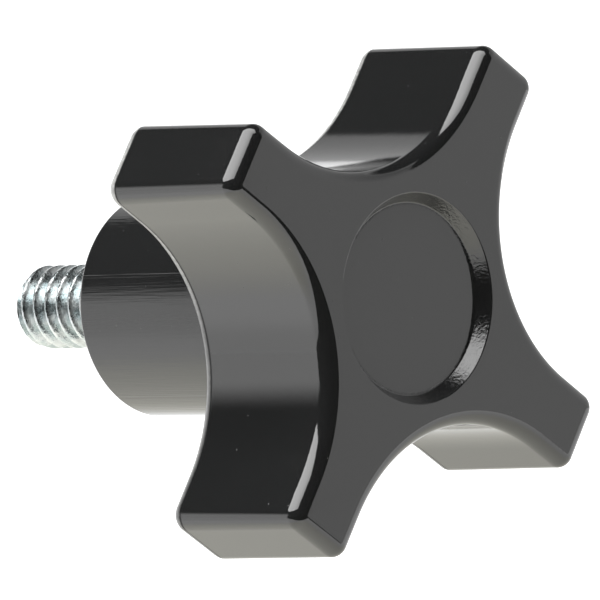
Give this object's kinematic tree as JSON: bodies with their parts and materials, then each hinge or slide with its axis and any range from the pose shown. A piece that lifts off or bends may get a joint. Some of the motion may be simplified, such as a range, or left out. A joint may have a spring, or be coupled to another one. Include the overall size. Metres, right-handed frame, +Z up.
{
  "type": "four-arm knob",
  "caption": "Clamping knob: a moulded plastic cross-shaped grip with a round hub and a short threaded steel stud.",
  "frame": {"origin": "on the stud's axis, in the plane of the hub's flat seating face, where the exposed stud begins", "axes": "+Y along the stud, out of the hub; the knob's front face looks along -Y; +Z up, with the four arms on the diagonals of X and Z, as on an upright panel"},
  "size_m": [0.032, 0.0398, 0.032],
  "materials": {
    "black_plastic": "glossy moulded thermoset plastic, black",
    "zinc_steel": "bright zinc plating on rolled steel thread"
  },
  "bodies": {
    "root": {"knob_head": "black_plastic", "threaded_stud": "zinc_steel"}
  },
  "joints": []
}
